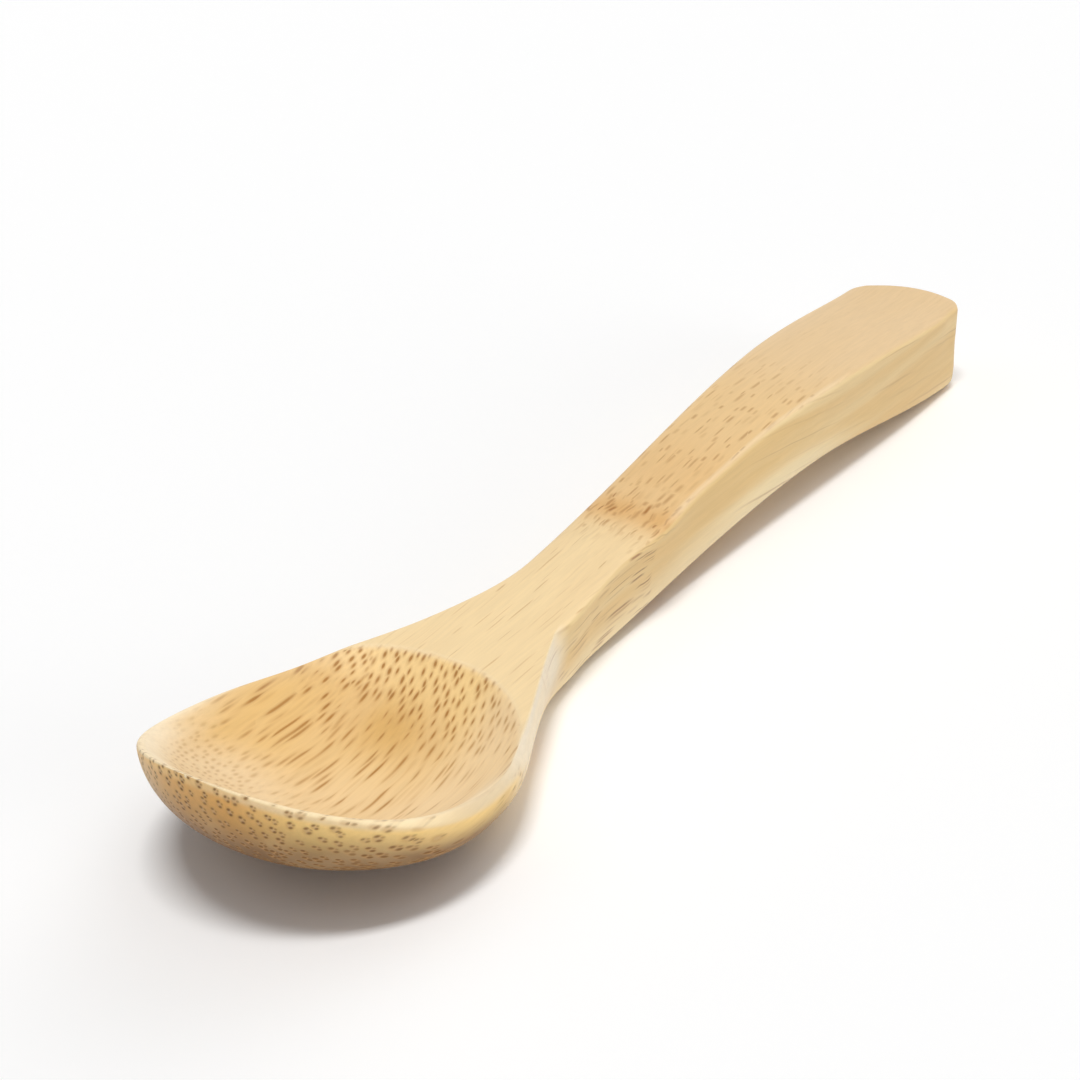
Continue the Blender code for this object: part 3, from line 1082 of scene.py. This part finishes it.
# Light: a long softbox across the spoon, nearly overhead and a little in front of the bowl, and a
# studio that is brighter behind the handle and at both sides. A share is what each gives the floor,
# and an azimuth, in degrees, turns from +X towards +Y.

key_share = 0.528
key_place = Vector((-0.137, -0.072, 0.600))
key_target = Vector((-0.033, 0.0, 0.0))
key_wide = 0.200
key_deep = 0.070
key_turn = math.radians(13.0)
key_aim = (key_target - key_place).normalized()
key_reach = (key_target - key_place).length

even_share = 0.02
studio_lobes = [
    {"azimuth": 0.0, "elevation": 38.0, "sharpness": 8.0, "share": 0.165},
    {"azimuth": 268.0, "elevation": 12.0, "sharpness": 30.0, "share": 0.050},
    {"azimuth": 262.0, "elevation": 66.0, "sharpness": 16.0, "share": 0.105},
    {"azimuth": 250.0, "elevation": 46.0, "sharpness": 10.0, "share": 0.035},
    {"azimuth": 120.0, "elevation": 48.0, "sharpness": 8.0, "share": 0.099},
]
lift_steps = 200
turn_steps = 360


def direction(azimuth, elevation):
    azimuth, elevation = math.radians(azimuth), math.radians(elevation)
    return Vector((math.cos(elevation) * math.cos(azimuth), math.cos(elevation) * math.sin(azimuth),
                   math.sin(elevation)))


def lobe_on_floor(towards, sharpness):
    """What a lobe of strength 1 gives a level floor, where an even sky of strength 1 gives 1."""
    lift = (np.arange(lift_steps) + 0.5) / lift_steps
    turn = 2.0 * math.pi * (np.arange(turn_steps) + 0.5) / turn_steps
    up, around = np.meshgrid(lift, turn)
    level = np.sqrt(1.0 - up ** 2)
    facing = level * np.cos(around) * towards.x + level * np.sin(around) * towards.y + up * towards.z
    return 2.0 * float(np.mean(np.maximum(facing, 0.0) ** sharpness * up))


def softbox():
    data = bpy.data.lights.new("softbox", "AREA")
    data.shape = "RECTANGLE"
    data.size = key_wide
    data.size_y = key_deep
    data.energy = key_share * math.pi ** 2 * key_reach ** 2 / -key_aim.z
    lamp = bpy.data.objects.new("softbox", data)
    lamp.location = key_place
    lamp.rotation_mode = "QUATERNION"
    turn = Quaternion((0.0, 0.0, 1.0), key_turn)
    lamp.rotation_quaternion = turn @ key_aim.to_track_quat("-Z", "Y")
    lamp.visible_camera = False
    bpy.context.scene.collection.objects.link(lamp)


def shows_background(graph):
    """1 for rays that show the background: from the camera, in a reflection or through glass."""
    path = graph.node("ShaderNodeLightPath")
    seen = graph.most(path.outputs["Is Camera Ray"], path.outputs["Is Glossy Ray"])
    return graph.most(seen, path.outputs["Is Transmission Ray"])


def studio():
    """White where it is seen, and the even light and the lobes for everything else."""
    world = bpy.data.worlds.new("studio")
    bpy.context.scene.world = world
    graph = Graph(world)
    output = graph.node("ShaderNodeOutputWorld")
    background = graph.node("ShaderNodeBackground")
    background.inputs["Color"].default_value = (1.0, 1.0, 1.0, 1.0)
    towards = graph.node("ShaderNodeTexCoord").outputs["Generated"]
    light = even_share
    for lobe in studio_lobes:
        middle = direction(lobe["azimuth"], lobe["elevation"])
        facing = graph.most(graph.vector("DOT_PRODUCT", towards, tuple(middle)), 0.0)
        strength = lobe["share"] / lobe_on_floor(middle, lobe["sharpness"])
        light = graph.add(graph.times(graph.math("POWER", facing, lobe["sharpness"]), strength), light)
    graph.feed(background.inputs["Strength"], graph.mix_value(shows_background(graph), light, 1.0))
    graph.feed(output.inputs["Surface"], background.outputs[0])


softbox()
studio()

# Floor

floor_half = 2.0
floor_white = 1.0
floor_bounce = 0.95
softbox_falloff = 4.0


def floor_material():
    """Plain white where it is seen, evened out over the place where the softbox falls off."""
    graph = Graph(bpy.data.materials.new("table"))
    output = graph.node("ShaderNodeOutputMaterial")
    where = graph.node("ShaderNodeTexCoord").outputs["Object"]
    from_key = graph.vector("SUBTRACT", where, tuple(key_place))
    away = graph.vector("LENGTH", from_key)
    facing = graph.most(graph.vector("DOT_PRODUCT", from_key, tuple(key_aim)), 0.0)
    received = graph.math("DIVIDE", facing, graph.math("POWER", away, softbox_falloff))
    sky_share = even_share + sum(lobe["share"] for lobe in studio_lobes)
    light = graph.add(graph.times(received, key_share * key_reach ** 3), sky_share)
    evened = graph.math("DIVIDE", floor_white, light)
    level = graph.mix_value(shows_background(graph), floor_bounce, evened)
    diffuse = graph.node("ShaderNodeBsdfDiffuse")
    graph.feed(diffuse.inputs["Color"], graph.join(level, level, level))
    graph.feed(output.inputs["Surface"], diffuse.outputs[0])
    return graph.made_for


floor_data = bpy.data.meshes.new("table")
floor_corners = [(floor_half * x, floor_half * y, 0.0) for x, y in ((-1, -1), (1, -1), (1, 1), (-1, 1))]
floor_data.from_pydata(floor_corners, [], [(0, 1, 2, 3)])
floor = bpy.data.objects.new("table", floor_data)
floor.data.materials.append(floor_material())
bpy.context.scene.collection.objects.link(floor)

# Camera: it looks along the spoon from in front of the bowl's right side

camera_place = Vector((-0.102196, -0.065910, 0.070353))
camera_yaw = 0.629544
camera_pitch = 0.497212
camera_roll = -0.051908
sensor_width = 36.0
focal_pixels = 2000.0
frame_pixels = 1080.0
clip_near = 0.001


def camera_turn():
    """The camera's axes in the frame, from its yaw, its pitch below the horizon and its roll."""
    ahead = Vector((math.cos(camera_pitch) * math.cos(camera_yaw),
                    math.cos(camera_pitch) * math.sin(camera_yaw), -math.sin(camera_pitch)))
    right = Vector((math.sin(camera_yaw), -math.cos(camera_yaw), 0.0))
    up = right.cross(ahead)
    turned_right = right * math.cos(camera_roll) + up * math.sin(camera_roll)
    turned_up = up * math.cos(camera_roll) - right * math.sin(camera_roll)
    return Matrix((turned_right, turned_up, -ahead)).transposed()


camera_data = bpy.data.cameras.new("camera")
camera_data.sensor_width = sensor_width
camera_data.lens = sensor_width * focal_pixels / frame_pixels
camera_data.clip_start = clip_near
camera = bpy.data.objects.new("camera", camera_data)
camera.matrix_world = Matrix.Translation(camera_place) @ camera_turn().to_4x4()
bpy.context.scene.collection.objects.link(camera)
bpy.context.scene.camera = camera
bpy.context.scene.view_settings.view_transform = "Standard"
